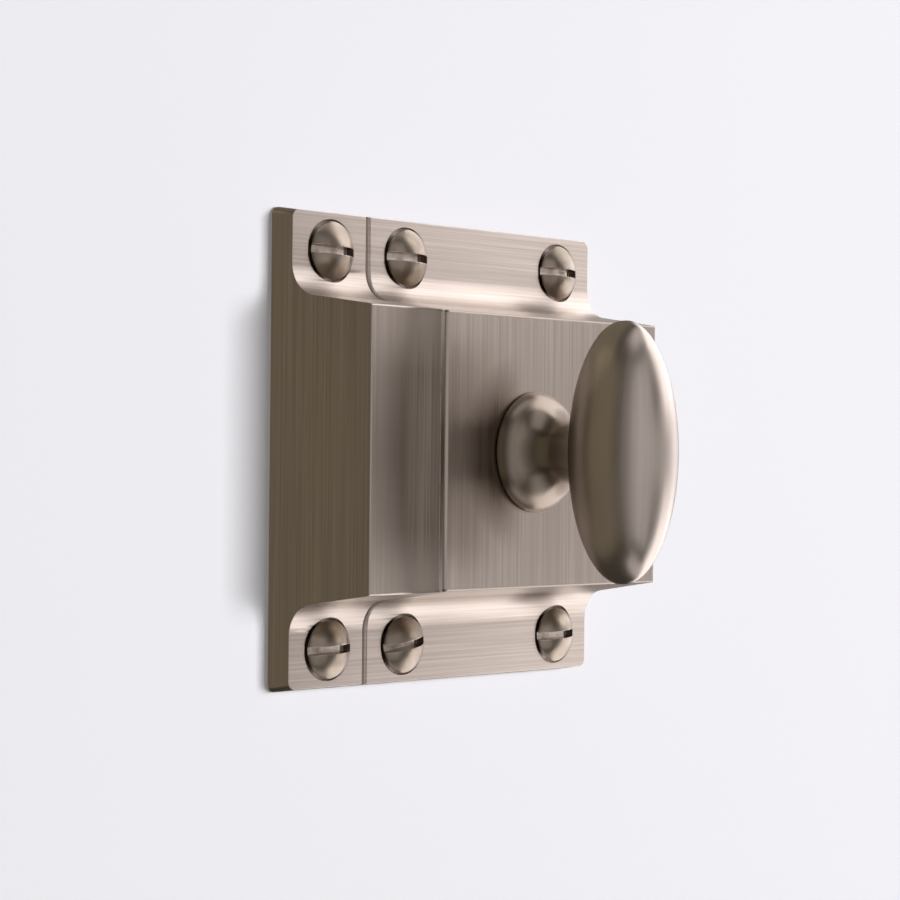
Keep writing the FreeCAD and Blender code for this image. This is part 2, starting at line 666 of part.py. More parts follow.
def make_back_plate():
    """Sheet that closes the case's back, flush with the mounting plane, with countersunk holes."""
    body = new_body("back_plate")
    sheet_outline = new_sketch(body, "plate_outline", "XZ_Plane")
    rectangle(sheet_outline, f"{CAVITY_LEFT} - plate_overlap", f"{CAVITY_RIGHT} + plate_overlap",
              f"-({CAVITY_TOP} + plate_overlap)", f"{CAVITY_TOP} + plate_overlap")
    extrude(body, "Pad", "plate_sheet", sheet_outline, "plate_thickness")
    places = new_sketch(body, "plate_holes", "XZ_Plane")
    circles(places, "plate_screw_radius + shank_clearance / 2", corners_of(BOSS_LEFT, BOSS_RIGHT, BOSS_TOP).values())
    holes = extrude(body, "Pocket", "plate_bores", places, "plate_thickness", flip=True)
    before = volume_of(body)
    rims = []
    for index, edge in enumerate(holes.Shape.Edges, 1):
        if isinstance(edge.Curve, Part.Circle) and near(edge.Curve.Center.y, 0):
            rims.append(f"Edge{index}")
    sink = body.newObject("PartDesign::Chamfer", "plate_sinks")
    sink.Base = (holes, rims)
    bind(sink, "Size", "plate_screw_cone + seat_clearance")
    compare(body, sink, before)
    return body


def make_plate_screw():
    """Small flat-headed screw, flush in the back plate."""
    body = new_body("plate_screw")
    profile = new_sketch(body, "plate_screw_profile", "XY_Plane")
    outline(profile, [
        ("0", "0"),
        ("plate_screw_head_radius", "0"),
        ("plate_screw_radius", "-plate_screw_cone"),
        ("plate_screw_radius", "-plate_screw_length"),
        ("0", "-plate_screw_length"),
    ])
    revolve(body, "plate_screw_turning", profile)
    cut_slot(body, "small_slot_depth / 2", "small_slot_width", "plate_screw_head_radius", False)
    return body


def make_wood_screw():
    """Oval-headed slotted wood screw: domed head, cone, plain shank, threaded length and point."""
    body = new_body("wood_screw")
    dome = "((screw_head_radius ^ 2 + screw_head_dome ^ 2) / (2 * screw_head_dome))"
    cone_end = f"({RIM_DEPTH} - (screw_head_radius - screw_shank_radius) * cone_slope)"
    profile = new_sketch(body, "wood_screw_profile", "XY_Plane")
    outline(profile, [
        ("0", "screw_reach"),
        ("0", f"-({RIM_DEPTH} + screw_head_dome)", dome, 1),
        ("screw_head_radius", f"-{RIM_DEPTH}"),
        ("screw_shank_radius", f"-{cone_end}"),
        ("screw_shank_radius", "0"),
        ("screw_thread_radius", "0"),
        ("screw_thread_radius", "screw_reach - screw_point"),
    ])
    revolve(body, "wood_screw_turning", profile)
    cut_slot(body, f"{RIM_DEPTH} - screw_slot_below_rim", "screw_slot_width", f"screw_head_radius + {SPARE}", True)
    return body


def copies(name, source, places, turns):
    """A group of separate screws, each at its place with its slot at its own turn."""
    group = []
    for place, (across, up) in places.items():
        screw = doc.addObject("App::Link", f"{name}_{place}")
        screw.LinkedObject = source
        screw.Placement = FreeCAD.Placement(FreeCAD.Vector(), FreeCAD.Rotation(FreeCAD.Vector(0, 1, 0), turns[place]))
        bind(screw, "Placement.Base.x", across)
        bind(screw, "Placement.Base.z", up)
        group.append(screw)
    compound = doc.addObject("Part::Compound", name)
    compound.Label = name
    compound.Links = group
    doc.recompute()
    return compound


def main():
    wood_screw = make_wood_screw()
    half = "(screw_pitch_across / 2)"
    top = "(screw_pitch_up / 2)"
    strike_places = {"top": (STRIKE_SCREWS, top), "bottom": (STRIKE_SCREWS, f"-{top}")}
    plate_places = corners_of(BOSS_LEFT, BOSS_RIGHT, BOSS_TOP)
    pieces = [
        make_case(),
        make_strike(),
        make_knob(),
        make_cam(),
        make_washer(),
        make_cam_screw(),
        make_bolt(),
        make_spring(),
        make_back_plate(),
        copies("back_plate_screws", make_plate_screw(), plate_places, PLATE_SLOT_TURNS),
        copies("case_screws", wood_screw, corners_of(f"-{half}", half, top), CASE_SLOT_TURNS),
        copies("strike_screws", wood_screw, strike_places, STRIKE_SLOT_TURNS),
    ]
    doc.recompute()
    for item in doc.Objects:
        if "Invalid" in item.State or "Error" in item.State:
            raise RuntimeError(f"{item.Label}: {item.State}")
    for piece in pieces:
        if piece.Shape.isNull() or not piece.Shape.isValid() or not piece.Shape.Solids:
            raise RuntimeError(f"{piece.Label}: no valid solid")
    os.makedirs("parts", exist_ok=True)
    for piece in pieces:
        piece.Shape.exportStep(f"parts/{piece.Label}.step")
        box = piece.Shape.BoundBox
        print(f"{piece.Label}: {len(piece.Shape.Solids)} solid(s), {piece.Shape.Volume:.1f} mm3, "
              f"x {box.XMin:.2f} to {box.XMax:.2f}, y {box.YMin:.2f} to {box.YMax:.2f}, "
              f"z {box.ZMin:.2f} to {box.ZMax:.2f}")


main()
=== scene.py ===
# %% [markdown]
# # Cupboard catch latch
# A cupboard catch has two castings that meet at a narrow gap. The case carries a knob, a bolt and a spring,
# and the strike takes the bolt when the door is shut. Six slotted wood screws hold both to the doors.
# This lesson dresses the solids: satin brushed castings, a smooth knob, threaded screws and a coil.

# %% Load the solids as a fixed frame
import math

import bmesh
import bpy
from mathutils import Matrix, Vector


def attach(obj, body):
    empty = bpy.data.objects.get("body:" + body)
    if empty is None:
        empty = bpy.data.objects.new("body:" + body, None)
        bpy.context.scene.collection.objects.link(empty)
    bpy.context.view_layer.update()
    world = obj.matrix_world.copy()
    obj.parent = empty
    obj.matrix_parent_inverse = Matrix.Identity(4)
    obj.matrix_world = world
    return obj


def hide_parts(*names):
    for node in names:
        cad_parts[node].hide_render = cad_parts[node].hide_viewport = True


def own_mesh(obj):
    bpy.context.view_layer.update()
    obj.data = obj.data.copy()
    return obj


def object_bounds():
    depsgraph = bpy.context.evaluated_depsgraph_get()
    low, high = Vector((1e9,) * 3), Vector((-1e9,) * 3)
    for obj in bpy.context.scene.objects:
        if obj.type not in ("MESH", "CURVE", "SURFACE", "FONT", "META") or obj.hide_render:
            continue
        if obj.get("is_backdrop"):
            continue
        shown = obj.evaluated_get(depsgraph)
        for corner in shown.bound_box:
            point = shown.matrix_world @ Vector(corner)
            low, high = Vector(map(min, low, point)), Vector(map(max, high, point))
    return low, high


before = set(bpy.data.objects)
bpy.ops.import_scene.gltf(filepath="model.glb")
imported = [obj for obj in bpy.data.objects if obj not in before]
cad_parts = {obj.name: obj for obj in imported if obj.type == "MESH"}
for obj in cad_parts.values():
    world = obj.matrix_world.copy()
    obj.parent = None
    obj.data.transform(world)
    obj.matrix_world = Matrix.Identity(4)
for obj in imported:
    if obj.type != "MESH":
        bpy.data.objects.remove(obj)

MM = 0.001
cad_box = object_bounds()
scene = bpy.context.scene
print("solids:", sorted(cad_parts))
print("box in mm:", [[round(number / MM, 2) for number in corner] for corner in cad_box])

# %% [markdown]
# ## Camera
# The latch hangs on an upright surface and is seen from its left, level with its middle. A long lens keeps the
# perspective mild. The camera's three axes are given directly, which is exact and needs no target to look at.

# %% Camera
CAMERA_PLACE = Vector((-228.108, -210.219, -1.988)) * MM
CAMERA_FORWARD = Vector((0.73133, 0.68198, 0.00730))
CAMERA_UP = Vector((-0.01141, 0.00153, 0.99993))
LENS = 97.56

forward = CAMERA_FORWARD.normalized()
right = forward.cross(CAMERA_UP).normalized()
up = right.cross(forward)
camera_data = bpy.data.cameras.new("camera")
camera_data.lens = LENS
camera_data.sensor_width = 36.0
camera_data.clip_start = 0.01
camera = bpy.data.objects.new("camera", camera_data)
turn = Matrix((right, up, -forward)).transposed()
camera.matrix_world = Matrix.Translation(CAMERA_PLACE) @ turn.to_4x4()
scene.collection.objects.link(camera)
scene.camera = camera
print("camera", [round(number, 4) for number in camera.location], "lens", LENS)

# %% [markdown]
# ## Studio
# Satin metal shows what stands round it, so most of the look comes from the light. Bright panels stand at the right,
# one level with the latch and one each above and below it, and the flanges and their hollow curves mirror them. The
# panels grow weaker towards the left front. A narrow gap follows, which draws the dark band on the knob, and then a
# weak warm panel that browns the left faces. The panels are for the metal alone, so the wall has a lamp of its own:
# it stands a little to the right, and the latch throws a soft shadow to the left. Wall and floor are pale, the metal
# doesn't mirror them, and their backs are clear, so the latch can be seen from behind.

# %% Soft panels
LATCH_MIDDLE = Vector((-7.0, -14.0, 0.0)) * MM


def soft_panel(name, azimuth, elevation, distance, size, brightness, colour):
    """A rectangular light that faces the latch. Azimuth 0 is straight in front and grows to the right."""
    panel = bpy.data.lights.new(name, "AREA")
    panel.shape = "RECTANGLE"
    panel.size, panel.size_y = size
    panel.energy = brightness * math.pi * size[0] * size[1]
    panel.color = colour
    turn_side = math.radians(azimuth)
    turn_up = math.radians(elevation)
    away = Vector((
        math.sin(turn_side) * math.cos(turn_up),
        -math.cos(turn_side) * math.cos(turn_up),
        math.sin(turn_up),
    ))
    holder = bpy.data.objects.new(name, panel)
    holder.location = LATCH_MIDDLE + away * distance
    holder.rotation_mode = "QUATERNION"
    holder.rotation_quaternion = away.to_track_quat("Z", "Y")
    holder.visible_camera = False
    holder.visible_diffuse = False
    scene.collection.objects.link(holder)
    print(name, "at", [round(number, 2) for number in holder.location])
    return holder


COOL = (0.955, 0.948, 1.0)
WARM = (1.0, 0.90, 0.63)
PANEL_DISTANCE = 0.9
WALL_LAMP_DISTANCE = 1.6
PANELS = (
    ("right_panel", 83.0, 0.0, (0.66, 0.30), 1.6, COOL),
    ("right_front_panel", 38.0, 0.0, (0.78, 0.30), 0.50, COOL),
    ("upper_right_panel", 77.0, 32.0, (1.1, 0.78), 2.35, COOL),
    ("lower_right_panel", 77.0, -32.0, (1.1, 0.78), 2.15, COOL),
    ("front_panel", -10.0, 0.0, (0.8, 1.6), 0.62, COOL),
    ("top_panel", 8.0, 70.0, (0.8, 0.45), 0.7, COOL),
    ("bottom_panel", 8.0, -70.0, (0.8, 0.45), 0.7, COOL),
    ("left_front_panel", -45.0, 0.0, (0.36, 2.0), 0.22, COOL),
    ("far_left_panel", -116.0, 0.0, (1.86, 2.2), 0.15, WARM),
    ("upper_back_panel", 180.0, 52.0, (1.6, 0.8), 0.15, WARM),
    ("back_panel", 180.0, 0.0, (0.6, 0.9), 0.5, COOL),
)
for name, azimuth, elevation, size, brightness, colour in PANELS:
    soft_panel(name, azimuth, elevation, PANEL_DISTANCE, size, brightness, colour)
wall_lamp = soft_panel("wall_lamp", 20.0, 0.0, WALL_LAMP_DISTANCE, (0.68, 0.75), 26.8, COOL)
wall_lamp.visible_glossy = False
wall_lamp.visible_diffuse = True

# %% World and stage
PALE = (0.90, 0.895, 0.925, 1.0)
ROOM_LIGHT = (0.065, 0.058, 0.05, 1.0)
WALL_BEHIND = 0.3 * MM
FLOOR_BELOW = -90.0 * MM
STAGE_REACH = 3.0


def make_world():
    """Pale for the eye and dim for the metal."""
    world = bpy.data.worlds.new("studio")
    world.use_nodes = True
    tree = world.node_tree
    tree.nodes.clear()
    path = tree.nodes.new("ShaderNodeLightPath")
    dim = tree.nodes.new("ShaderNodeBackground")
    dim.inputs["Color"].default_value = ROOM_LIGHT
    pale = tree.nodes.new("ShaderNodeBackground")
    pale.inputs["Color"].default_value = PALE
    mix = tree.nodes.new("ShaderNodeMixShader")
    output = tree.nodes.new("ShaderNodeOutputWorld")
    tree.links.new(path.outputs["Is Camera Ray"], mix.inputs["Fac"])
    tree.links.new(dim.outputs["Background"], mix.inputs[1])
    tree.links.new(pale.outputs["Background"], mix.inputs[2])
    tree.links.new(mix.outputs["Shader"], output.inputs["Surface"])
    return world


def stage_paint(name, own_light, matt_share):
    """Pale paint that takes a soft shadow as far as it is matt, and is clear from behind."""
    paint = bpy.data.materials.new(name)
    paint.use_nodes = True
    tree = paint.node_tree
    tree.nodes.clear()
    glow = tree.nodes.new("ShaderNodeEmission")
    glow.inputs["Color"].default_value = PALE
    glow.inputs["Strength"].default_value = own_light
    matt = tree.nodes.new("ShaderNodeBsdfDiffuse")
    matt.inputs["Color"].default_value = (matt_share, matt_share, matt_share, 1.0)
    front = tree.nodes.new("ShaderNodeAddShader")
    clear = tree.nodes.new("ShaderNodeBsdfTransparent")
    side = tree.nodes.new("ShaderNodeNewGeometry")
    mix = tree.nodes.new("ShaderNodeMixShader")
    output = tree.nodes.new("ShaderNodeOutputMaterial")
    tree.links.new(glow.outputs["Emission"], front.inputs[0])
    tree.links.new(matt.outputs["BSDF"], front.inputs[1])
    tree.links.new(side.outputs["Backfacing"], mix.inputs["Fac"])
    tree.links.new(front.outputs["Shader"], mix.inputs[1])
    tree.links.new(clear.outputs["BSDF"], mix.inputs[2])
    tree.links.new(mix.outputs["Shader"], output.inputs["Surface"])
    return paint


def stage_sheet(name, corners, paint):
    mesh = bpy.data.meshes.new(name)
    mesh.from_pydata(corners, [], [range(4)])
    mesh.materials.append(paint)
    sheet = bpy.data.objects.new(name, mesh)
    sheet.visible_glossy = False
    sheet.visible_diffuse = False
    scene.collection.objects.link(sheet)
    sheet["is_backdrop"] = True


scene.world = make_world()
scene.view_settings.view_transform = "Standard"
wall_paint = stage_paint("wall_paint", 0.17, 0.75)
floor_paint = stage_paint("floor_paint", 0.98, 0.0)
far = STAGE_REACH
stage_sheet("wall", [
    (-far, WALL_BEHIND, FLOOR_BELOW),
    (far, WALL_BEHIND, FLOOR_BELOW),
    (far, WALL_BEHIND, far),
    (-far, WALL_BEHIND, far),
], wall_paint)
stage_sheet("floor", [
    (-far, -far, FLOOR_BELOW),
    (far, -far, FLOOR_BELOW),
    (far, far, FLOOR_BELOW),
    (-far, far, FLOOR_BELOW),
], floor_paint)
print("wall and floor", 2 * far, "m wide")

# %% [markdown]
# ## Effects that the finishes share
# Brushing leaves fine scratches that all run one way. They are noise that is stretched a long way along the lines,
# in a UV map measured in millimetres: U runs across the scratches and V along them. More groups add slow clouds of
# tarnish, paler metal on the rounded edges and the screws' slot floors (rubbed wear and a painted highlight), a darker
# brown beside the strike's lip and on the knob's stem, and painted shade left of the knob's foot and along two edges.

# %% Helpers for shader groups
def new_group(name, inputs, outputs):
    """An empty shader group with named sockets, and its two end nodes."""
    group = bpy.data.node_groups.new(name, "ShaderNodeTree")
    for label, kind, start in inputs:
        socket = group.interface.new_socket(label, in_out="INPUT", socket_type=kind)
        if start is not None:
            socket.default_value = start
    for label, kind in outputs:
        group.interface.new_socket(label, in_out="OUTPUT", socket_type=kind)
    return group, group.nodes.new("NodeGroupInput"), group.nodes.new("NodeGroupOutput")


def maths(tree, kind, first, second):
    """A Math node. Each of its two values is a number or a socket."""
    node = tree.nodes.new("ShaderNodeMath")
    node.operation = kind
    for slot_number, given in enumerate((first, second)):
        if isinstance(given, (int, float)):
            node.inputs[slot_number].default_value = given
        else:
            tree.links.new(given, node.inputs[slot_number])
    return node.outputs[0]


def noise(tree, vector, scale, detail, dimensions="3D"):
    node = tree.nodes.new("ShaderNodeTexNoise")
    node.noise_dimensions = dimensions
    node.inputs["Detail"].default_value = detail
    tree.links.new(vector, node.inputs["Vector"])
    if isinstance(scale, (int, float)):
        node.inputs["Scale"].default_value = scale
    else:
        tree.links.new(scale, node.inputs["Scale"])
    return node.outputs["Fac"]


def blend_colour(tree, share, first, second, kind="MIX"):
    """A colour mix. Each of the two colours is a tuple or a socket."""
    node = tree.nodes.new("ShaderNodeMix")
    node.data_type = "RGBA"
    node.blend_type = kind
    node.clamp_factor = True
    tree.links.new(share, node.inputs["Factor"])
    for label, given in (("A", first), ("B", second)):
        socket = next(item for item in node.inputs if item.name == label and item.type == "RGBA")
        if isinstance(given, tuple):
            socket.default_value = given
        else:
            tree.links.new(given, socket)
    return next(item for item in node.outputs if item.type == "RGBA")


def spread(tree, given, low, high, new_low, new_high):
    """A value moved from one range to another, held inside it."""
    node = tree.nodes.new("ShaderNodeMapRange")
    for label, number in (("From Min", low), ("From Max", high), ("To Min", new_low), ("To Max", new_high)):
        node.inputs[label].default_value = number
    tree.links.new(given, node.inputs["Value"])
    return node.outputs["Result"]


def band(tree, given, limits, low, high):
    """A length spread over a range that is given in mm."""
    return spread(tree, given, limits[0] * MM, limits[1] * MM, low, high)


# %% Group: brush lines
def make_brush_group():
    group, start, end = new_group(
        "brush_lines",
        [("Map", "NodeSocketVector", None), ("Lines per mm", "NodeSocketFloat", 7.0),
         ("Streaks per mm", "NodeSocketFloat", 1.3), ("Stretch", "NodeSocketFloat", 60.0)],
        [("Lines", "NodeSocketFloat"), ("Streaks", "NodeSocketFloat")],
    )
    parts = group.nodes.new("ShaderNodeSeparateXYZ")
    group.links.new(start.outputs["Map"], parts.inputs["Vector"])
    along = maths(group, "DIVIDE", parts.outputs["Y"], start.outputs["Stretch"])
    drawn = group.nodes.new("ShaderNodeCombineXYZ")
    group.links.new(parts.outputs["X"], drawn.inputs["X"])
    group.links.new(along, drawn.inputs["Y"])
    lines = noise(group, drawn.outputs["Vector"], start.outputs["Lines per mm"], 3.0, "2D")
    streaks = noise(group, drawn.outputs["Vector"], start.outputs["Streaks per mm"], 2.0, "2D")
    group.links.new(lines, end.inputs["Lines"])
    group.links.new(streaks, end.inputs["Streaks"])
    return group


brush_group = make_brush_group()
print("group", brush_group.name, [item.name for item in brush_group.interface.items_tree])


# %% Groups: tarnish and rubbed edges
def make_tarnish_group():
    """Slow clouds of darker metal. It puts out the colour and the cloud itself."""
    group, start, end = new_group(
        "tarnish",
        [("Colour", "NodeSocketColor", None), ("Tarnish", "NodeSocketColor", None),
         ("Place", "NodeSocketVector", None), ("Clouds per m", "NodeSocketFloat", 90.0),
         ("Amount", "NodeSocketFloat", 0.4)],
        [("Colour", "NodeSocketColor"), ("Cloud", "NodeSocketFloat")],
    )
    cloud = noise(group, start.outputs["Place"], start.outputs["Clouds per m"], 4.0)
    cloud = spread(group, cloud, 0.35, 0.68, 0.0, 1.0)
    share = maths(group, "MULTIPLY", cloud, start.outputs["Amount"])
    colour = blend_colour(group, share, start.outputs["Colour"], start.outputs["Tarnish"])
    group.links.new(colour, end.inputs["Colour"])
    group.links.new(cloud, end.inputs["Cloud"])
    return group


def make_rubbed_and_highlight_group():
    """Paler metal where the mesh is marked: rubbed wear on the rounded edges, and a painted highlight there and on the
    screws' slot floors.
    """
    group, start, end = new_group(
        "rubbed_edges",
        [("Colour", "NodeSocketColor", None), ("Bare", "NodeSocketColor", None),
         ("Place", "NodeSocketVector", None), ("Amount", "NodeSocketFloat", 0.5)],
        [("Colour", "NodeSocketColor")],
    )
    mark = group.nodes.new("ShaderNodeAttribute")
    mark.attribute_name = "rubbed"
    uneven = spread(group, noise(group, start.outputs["Place"], 700.0, 3.0), 0.35, 0.6, 0.2, 1.0)
    share = maths(group, "MULTIPLY", mark.outputs["Fac"], start.outputs["Amount"])
    share = maths(group, "MULTIPLY", share, uneven)
    colour = blend_colour(group, share, start.outputs["Colour"], start.outputs["Bare"])
    group.links.new(colour, end.inputs["Colour"])
    return group


tarnish_group = make_tarnish_group()
rubbed_and_highlight_group = make_rubbed_and_highlight_group()
print("groups", tarnish_group.name, rubbed_and_highlight_group.name)

# %% Groups: darker brown and painted shade
KNOB_X = -4.875
LIP_SIDE = (-32.5, -24.2)
CASE_SIDE = (-21.12, -21.06)
RAMP_ENDS = (9.0, 15.0)
FRONT_DEPTH = (-10.0, -12.0)
# Painted shadow left of the knob's foot: how far it reaches round the knob's axis, and the side it lies on.
FOOT_SHADOW_REACH = (8.8, 13.0)
FOOT_SHADOW_SIDE = (-2.0, -7.0)
# Painted shade: a dark line along the block's top and bottom front edges.
BLOCK_EDGE = (16.1, 16.2)
EDGE_DEPTH = (-15.7, -15.9)
STEM_DARKENING_DEPTH = (-25.0, -22.5)


def darkening_group(name):
    """The sockets of a darkening group, and the three parts of the place."""
    group, start, end = new_group(
        name,
        [("Colour", "NodeSocketColor", None), ("Patina", "NodeSocketColor", None),
         ("Place", "NodeSocketVector", None), ("Amount", "NodeSocketFloat", 0.8)],
        [("Colour", "NodeSocketColor")],
    )
    parts = group.nodes.new("ShaderNodeSeparateXYZ")
    group.links.new(start.outputs["Place"], parts.inputs["Vector"])
    return group, start, end, parts.outputs


def lay_darkening(group, start, end, share):
    share = maths(group, "MULTIPLY", share, start.outputs["Amount"])
    colour = blend_colour(group, share, start.outputs["Colour"], start.outputs["Patina"])
    group.links.new(colour, end.inputs["Colour"])
    return group


def make_darkening_and_shade_group():
    """Darker brown beside the strike's lip, less towards the ramp's ends; painted shadow left of the knob's foot;
    painted shade on two edges.
    """
    group, start, end, parts = darkening_group("hollow_patina")
    from_middle = maths(group, "ABSOLUTE", parts["Z"], 0.0)
    in_front = band(group, parts["Y"], FRONT_DEPTH, 0.0, 1.0)
    beside_lip = band(group, parts["X"], LIP_SIDE, 0.0, 1.0)
    before_case = band(group, parts["X"], CASE_SIDE, 1.0, 0.0)
    off_ends = band(group, from_middle, RAMP_ENDS, 1.0, 0.55)
    share = maths(group, "MULTIPLY", maths(group, "MULTIPLY", beside_lip, before_case), in_front)
    share = maths(group, "MULTIPLY", share, off_ends)
    across = maths(group, "SUBTRACT", parts["X"], KNOB_X * MM)
    from_axis = group.nodes.new("ShaderNodeCombineXYZ")
    group.links.new(across, from_axis.inputs["X"])
    group.links.new(parts["Z"], from_axis.inputs["Z"])
    reach = group.nodes.new("ShaderNodeVectorMath")
    reach.operation = "LENGTH"
    group.links.new(from_axis.outputs["Vector"], reach.inputs[0])
    near_foot = band(group, reach.outputs["Value"], FOOT_SHADOW_REACH, 1.0, 0.0)
    # Painted shadow: darker metal on the knob's left, round its foot.
    foot_shadow = maths(group, "MULTIPLY", near_foot, band(group, across, FOOT_SHADOW_SIDE, 0.0, 1.0))
    share = maths(group, "MAXIMUM", share, maths(group, "MULTIPLY", foot_shadow, in_front))
    # Painted shade along the block's top and bottom front edges.
    edge_shade = band(group, from_middle, BLOCK_EDGE, 0.0, 0.75)
    at_front = band(group, parts["Y"], EDGE_DEPTH, 0.0, 1.0)
    share = maths(group, "MAXIMUM", share, maths(group, "MULTIPLY", edge_shade, at_front))
    return lay_darkening(group, start, end, share)


def make_stem_darkening_group():
    """Darker brown on the knob towards the plate: the bell, the neck and the back of the grip."""
    group, start, end, parts = darkening_group("sheltered_patina")
    return lay_darkening(group, start, end, band(group, parts["Y"], STEM_DARKENING_DEPTH, 0.0, 1.0))


darkening_and_shade_group = make_darkening_and_shade_group()
stem_darkening_group = make_stem_darkening_group()
print("groups", darkening_and_shade_group.name, stem_darkening_group.name)

# %% [markdown]
# ## Finishes
# The castings, the knob and the screws are one satin metal between nickel and brass. The castings are brushed, so
# their gloss is drawn out across the scratches: the shader's tangent follows U of the brush map, and its
# anisotropy is a plain number. The screws are browner, and their slot floors are painted paler, which is bare metal
# and a painted highlight. The hidden works are brass and steel.


# %% Recipe for a metal
DARKENING_AMOUNT = 0.85


def group_node(tree, group, **settings):
    node = tree.nodes.new("ShaderNodeGroup")
    node.node_tree = group
    for label, given in settings.items():
        socket = node.inputs[label.replace("_", " ")]
        if isinstance(given, (int, float, tuple)):
            socket.default_value = given
        else:
            tree.links.new(given, socket)
    return node


def make_metal(name, colour, tarnish, lighter, rough, brush=None, clouds=90.0, tarnish_amount=0.35, dents=0.0,
               darkening=None, rubbed_and_highlight_share=0.25):
    """A worn metal. Brush gives lines per mm, streaks per mm, their depths, and the anisotropy."""
    metal = bpy.data.materials.new(name)
    metal.use_nodes = True
    tree = metal.node_tree
    shader = tree.nodes["Principled BSDF"]
    shader.inputs["Metallic"].default_value = 1.0
    place = tree.nodes.new("ShaderNodeTexCoord").outputs["Object"]
    worn = group_node(tree, tarnish_group, Colour=colour, Tarnish=tarnish, Place=place,
                      Clouds_per_m=clouds, Amount=tarnish_amount)
    paint = worn.outputs["Colour"]
    roughness = spread(tree, worn.outputs["Cloud"], 0.0, 1.0, rough - 0.02, rough + 0.05)
    bump = tree.nodes.new("ShaderNodeBump")
    # A darker brown laid by a mask; on the castings it includes painted shadow and painted shade.
    if darkening:
        aged = group_node(tree, darkening[0], Colour=paint, Patina=darkening[1], Place=place, Amount=DARKENING_AMOUNT)
        paint = aged.outputs["Colour"]
    if brush:
        chart = tree.nodes.new("ShaderNodeUVMap")
        chart.uv_map = "brush"
        lines = group_node(tree, brush_group, Map=chart.outputs["UV"], Lines_per_mm=brush["lines"],
                           Streaks_per_mm=brush["streaks"], Stretch=brush["stretch"])
        tone = maths(tree, "ADD", maths(tree, "MULTIPLY", lines.outputs["Lines"], brush["line_share"]),
                     maths(tree, "MULTIPLY", lines.outputs["Streaks"], 1.0 - brush["line_share"]))
        shade = spread(tree, tone, 0.32, 0.68, 0.0, brush["contrast"])
        paint = blend_colour(tree, shade, paint, tarnish)
        streak_rough = spread(tree, lines.outputs["Streaks"], 0.3, 0.7, -0.03, 0.03)
        roughness = maths(tree, "ADD", roughness, streak_rough)
        height = lines.outputs["Lines"]
        bump.inputs["Distance"].default_value = brush["depth"] * MM
        tangent = tree.nodes.new("ShaderNodeTangent")
        tangent.direction_type = "UV_MAP"
        tangent.uv_map = "brush"
        tree.links.new(tangent.outputs["Tangent"], shader.inputs["Tangent"])
        shader.inputs["Anisotropic"].default_value = brush["anisotropy"]
    else:
        height = noise(tree, place, 1600.0, 4.0)
        bump.inputs["Distance"].default_value = dents * MM
    rubbed = group_node(tree, rubbed_and_highlight_group, Colour=paint, Bare=lighter, Place=place, Amount=rubbed_and_highlight_share)
    tree.links.new(rubbed.outputs["Colour"], shader.inputs["Base Color"])
    tree.links.new(roughness, shader.inputs["Roughness"])
    tree.links.new(height, bump.inputs["Height"])
    tree.links.new(bump.outputs["Normal"], shader.inputs["Normal"])
    return metal


# %% The five finishes
SATIN = (0.60, 0.52, 0.455, 1.0)
SATIN_DARK = (0.36, 0.295, 0.24, 1.0)
SATIN_LIGHTER = (0.74, 0.64, 0.56, 1.0)
CASTING_BRUSH = {"lines": 3.8, "streaks": 0.9, "stretch": 110.0, "line_share": 0.75, "contrast": 0.6,
                 "depth": 0.004, "anisotropy": 0.7}
KNOB_BRUSH = {"lines": 5.0, "streaks": 0.9, "stretch": 40.0, "line_share": 0.4, "contrast": 0.18,
              "depth": 0.0012, "anisotropy": 0.35}

# Castings: the darker colour is painted shadow left of the knob's foot, painted shade on two edges, and brown beside
# the lip.
casting_finish = make_metal("satin_casting", SATIN, SATIN_DARK, SATIN_LIGHTER, 0.325, CASTING_BRUSH, clouds=40.0,
                            tarnish_amount=0.2, darkening=(darkening_and_shade_group, (0.105, 0.078, 0.05, 1.0)))
knob_finish = make_metal("satin_knob", SATIN, SATIN_DARK, SATIN_LIGHTER, 0.31, KNOB_BRUSH, tarnish_amount=0.08,
                         darkening=(stem_darkening_group, (0.245, 0.195, 0.145, 1.0)))
screw_finish = make_metal("satin_screw", (0.36, 0.295, 0.23, 1.0), (0.17, 0.135, 0.10, 1.0), SATIN_LIGHTER, 0.30,
                          clouds=420.0, tarnish_amount=0.55, dents=0.012, rubbed_and_highlight_share=0.95)
brass_finish = make_metal("works_brass", (0.78, 0.60, 0.30, 1.0), (0.50, 0.35, 0.16, 1.0),
                          (0.88, 0.74, 0.45, 1.0), 0.34, clouds=160.0, dents=0.008)
steel_finish = make_metal("works_steel", (0.62, 0.62, 0.63, 1.0), (0.40, 0.39, 0.38, 1.0),
                          (0.80, 0.80, 0.80, 1.0), 0.30, clouds=260.0, dents=0.008)
print("finishes", [item.name for item in bpy.data.materials])

# %% [markdown]
# ## Castings
# A real casting has no knife edges. Each solid is copied, its loose triangles are merged into whole faces, and its
# sharp edges get a small round that catches the light. Weighted normals keep the large faces flat. The rounds carry
# the mark for paler metal, which is rubbed wear and a painted highlight. The brush map then follows how such a piece
# is polished: up and down on the block, lengthwise on the flanges and on the hollow curve beside them.


# %% Soft copies of solids
MERGE_WITHIN = 0.002
FLAT_ANGLE, SHARP_ANGLE, SMOOTH_ANGLE = 0.6, 30.0, 40.0


def plain_mesh(piece):
    """Turn what the modifiers make into the piece's own mesh."""
    graph = bpy.context.evaluated_depsgraph_get()
    mesh = bpy.data.meshes.new_from_object(piece.evaluated_get(graph), preserve_all_data_layers=True, depsgraph=graph)
    piece.modifiers.clear()
    piece.data = mesh
    mesh.name = piece.name
    return mesh


def new_piece(name, shape):
    """An object at the origin from a bmesh, which is freed."""
    mesh = bpy.data.meshes.new(name)
    shape.to_mesh(mesh)
    shape.free()
    piece = bpy.data.objects.new(name, mesh)
    scene.collection.objects.link(piece)
    return piece


